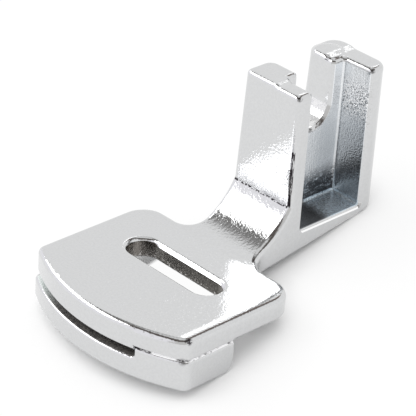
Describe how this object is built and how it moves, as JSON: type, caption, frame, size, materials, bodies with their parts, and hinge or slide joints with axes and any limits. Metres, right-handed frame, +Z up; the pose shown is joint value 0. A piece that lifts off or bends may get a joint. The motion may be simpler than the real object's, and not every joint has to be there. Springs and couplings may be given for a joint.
{
  "type": "sewing machine presser foot",
  "caption": "Low-shank gathering foot in chromed die-cast metal: slotted shank for the clamp screw, curved sole plate with needle slot and a fabric slit over a thick front tongue.",
  "frame": {"origin": "on the sole plane, straight below the middle of the needle slot", "axes": "+X to the sewer's right, +Y away from the sewer along the seam, +Z up along the presser bar"},
  "size_m": [0.0196, 0.031, 0.0196],
  "materials": {
    "chrome_casting": "bright chrome plate on a zinc die casting, left rough and grey inside the bar channel"
  },
  "bodies": {
    "root": {"gathering_foot": "chrome_casting"}
  },
  "joints": []
}
